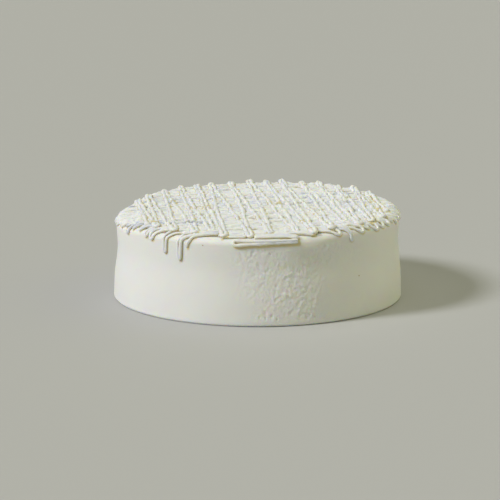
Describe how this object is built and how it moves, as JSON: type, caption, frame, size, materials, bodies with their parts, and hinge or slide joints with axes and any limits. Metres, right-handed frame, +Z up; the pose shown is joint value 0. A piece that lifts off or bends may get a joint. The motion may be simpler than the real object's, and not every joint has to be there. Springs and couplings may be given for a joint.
{
  "type": "frosted cheesecake",
  "caption": "Whole round cheesecake, uncut, coated in smooth white frosting, with crossing zigzag strands of piped cream over the top that hook over the edge",
  "frame": {"origin": "centre of the flat foot, on the surface the cake rests on", "axes": "+Z up out of the piped top, -Y towards the front, where the long loop lies along the edge, +X to the right of someone facing the front"},
  "size_m": [0.2296, 0.2298, 0.0755],
  "materials": {
    "frosting": "whipped white frosting smoothed with a blade, matte, slightly translucent, rough and pitted in one patch of the side",
    "piped_cream": "piped white cream, satin, soft round strands with a warm tint where they meet"
  },
  "bodies": {
    "root": {"frosted_body": "frosting", "lower_piping": "piped_cream", "upper_piping": "piped_cream", "front_loop": "piped_cream", "hanging_loop_left": "piped_cream", "hanging_loop_middle": "piped_cream", "hanging_loop_right": "piped_cream"}
  },
  "joints": []
}
